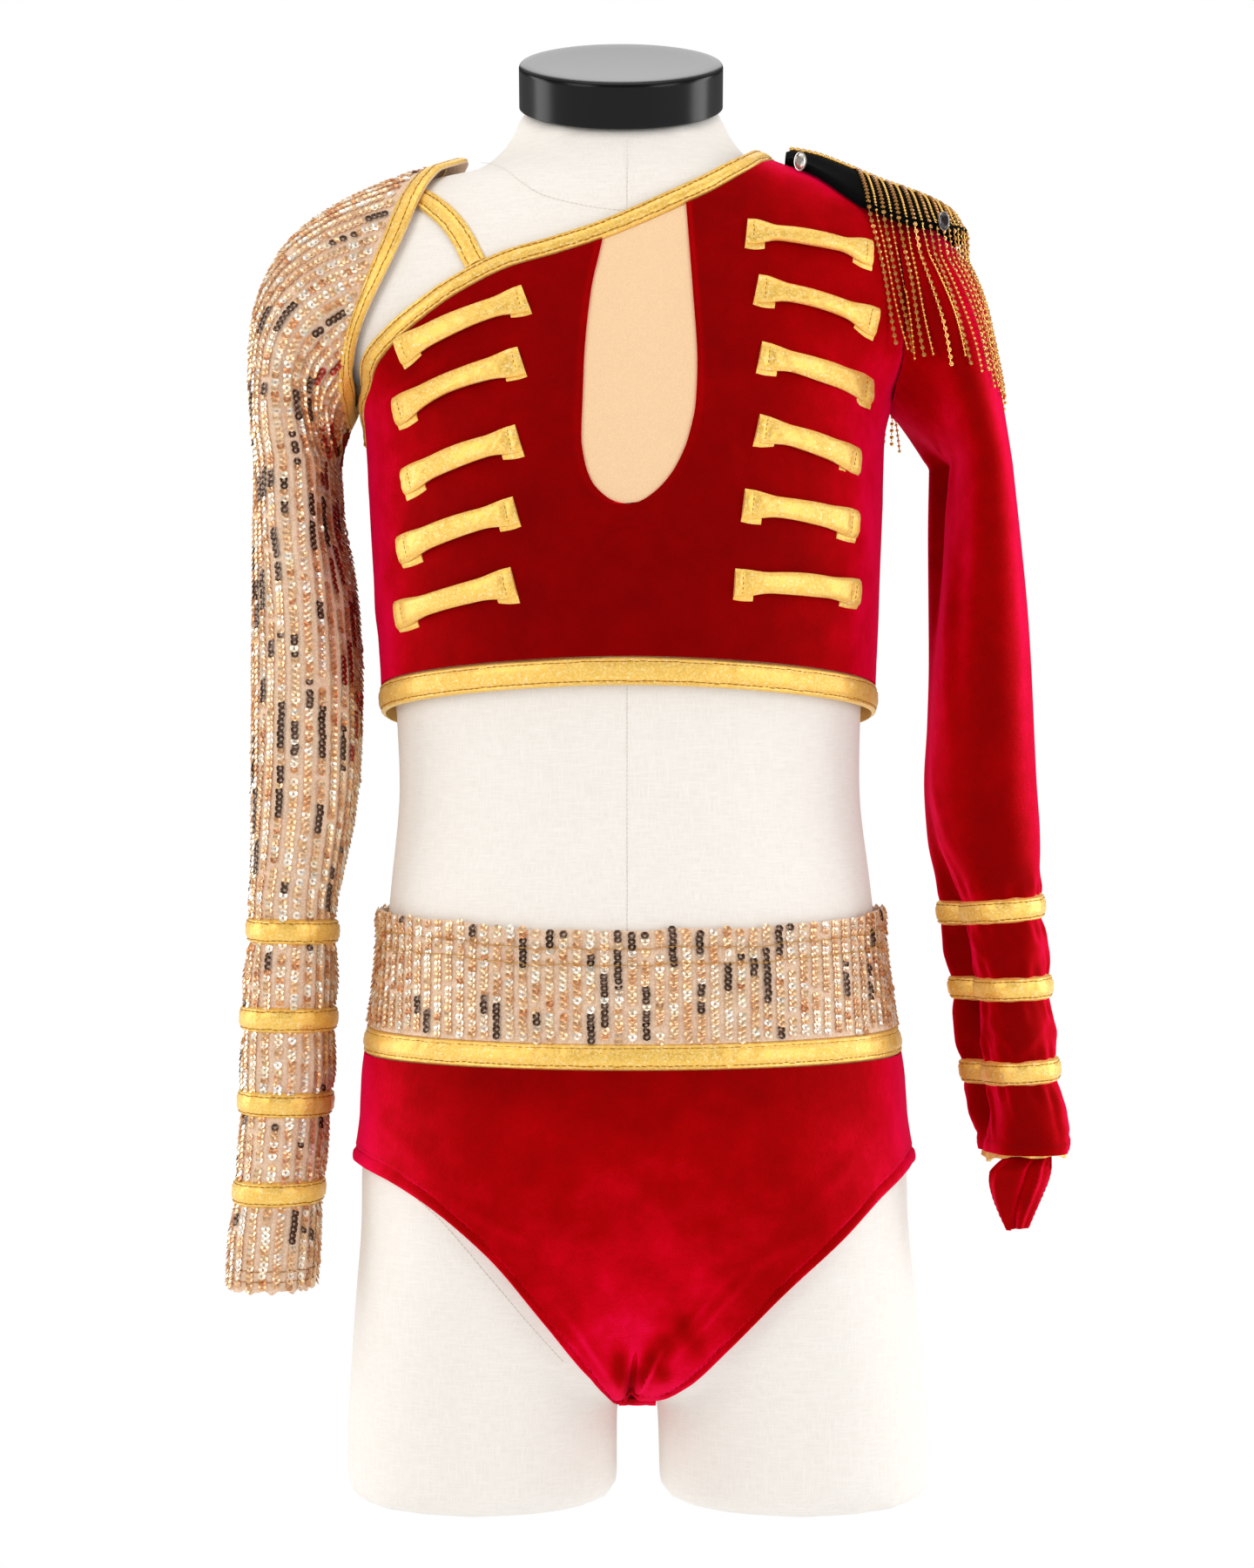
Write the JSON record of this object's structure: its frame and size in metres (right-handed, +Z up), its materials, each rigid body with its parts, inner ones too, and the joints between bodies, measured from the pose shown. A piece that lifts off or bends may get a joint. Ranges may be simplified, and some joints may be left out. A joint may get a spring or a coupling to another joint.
{
  "type": "two-piece dance costume on a dress form",
  "caption": "Child's two-piece stage costume: one-shoulder velvet crop top with odd sleeves, gold bars and a chain-fringed shoulder board, and sequin-waisted briefs, on a limbless dress form.",
  "frame": {"origin": "middle of the footprint, on the ground under the two thigh stubs of the form", "axes": "+Z up, the front faces -Y, +X is the wearer's left (the velvet sleeve)"},
  "size_m": [0.3867, 0.1977, 0.6705],
  "materials": {
    "linen": "plain-weave linen, matte",
    "cap_plastic": "satin",
    "red_velvet": "stretch velvet with a magenta sheen at grazing angles",
    "nude_mesh": "fine stretch mesh, semi-matte",
    "gold_foil": "foiled stretch cloth with glitter dots",
    "sequin_cloth": "champagne sequins in rows on nude mesh",
    "black_felt": "matte felt",
    "chain_metal": "polished ball and cup chain",
    "clear_stone": "polished, in a metal setting",
    "dark_stone": "polished, in a metal setting"
  },
  "bodies": {
    "root": {"dress_form": "linen", "neck_cap": "cap_plastic", "top_front": "red_velvet", "top_back": "red_velvet", "keyhole_mesh": "nude_mesh", "neck_binding_front": "gold_foil", "neck_binding_back": "gold_foil", "hem_binding": "gold_foil", "shoulder_strap": "gold_foil", "bar_left_1": "gold_foil", "bar_left_2": "gold_foil", "bar_left_3": "gold_foil", "bar_left_4": "gold_foil", "bar_left_5": "gold_foil", "bar_right_1": "gold_foil", "bar_right_2": "gold_foil", "bar_right_3": "gold_foil", "bar_right_4": "gold_foil", "bar_right_5": "gold_foil", "bar_right_6": "gold_foil", "velvet_sleeve": "red_velvet", "velvet_band_1": "gold_foil", "velvet_band_2": "gold_foil", "velvet_band_3": "gold_foil", "cuff_binding": "gold_foil", "hand_point": "red_velvet", "sequin_sleeve": "sequin_cloth", "sleeve_rim_binding": "gold_foil", "sequin_band_1": "gold_foil", "sequin_band_2": "gold_foil", "sequin_band_3": "gold_foil", "sequin_band_4": "gold_foil", "shoulder_board": "black_felt", "chain_fringe": "chain_metal", "board_trim": "chain_metal", "oval_stone_neck": "clear_stone", "oval_stone_arm": "dark_stone", "briefs_front": "red_velvet", "briefs_back": "red_velvet", "gusset": "red_velvet", "belt_binding": "gold_foil", "waistband": "sequin_cloth"}
  },
  "joints": []
}
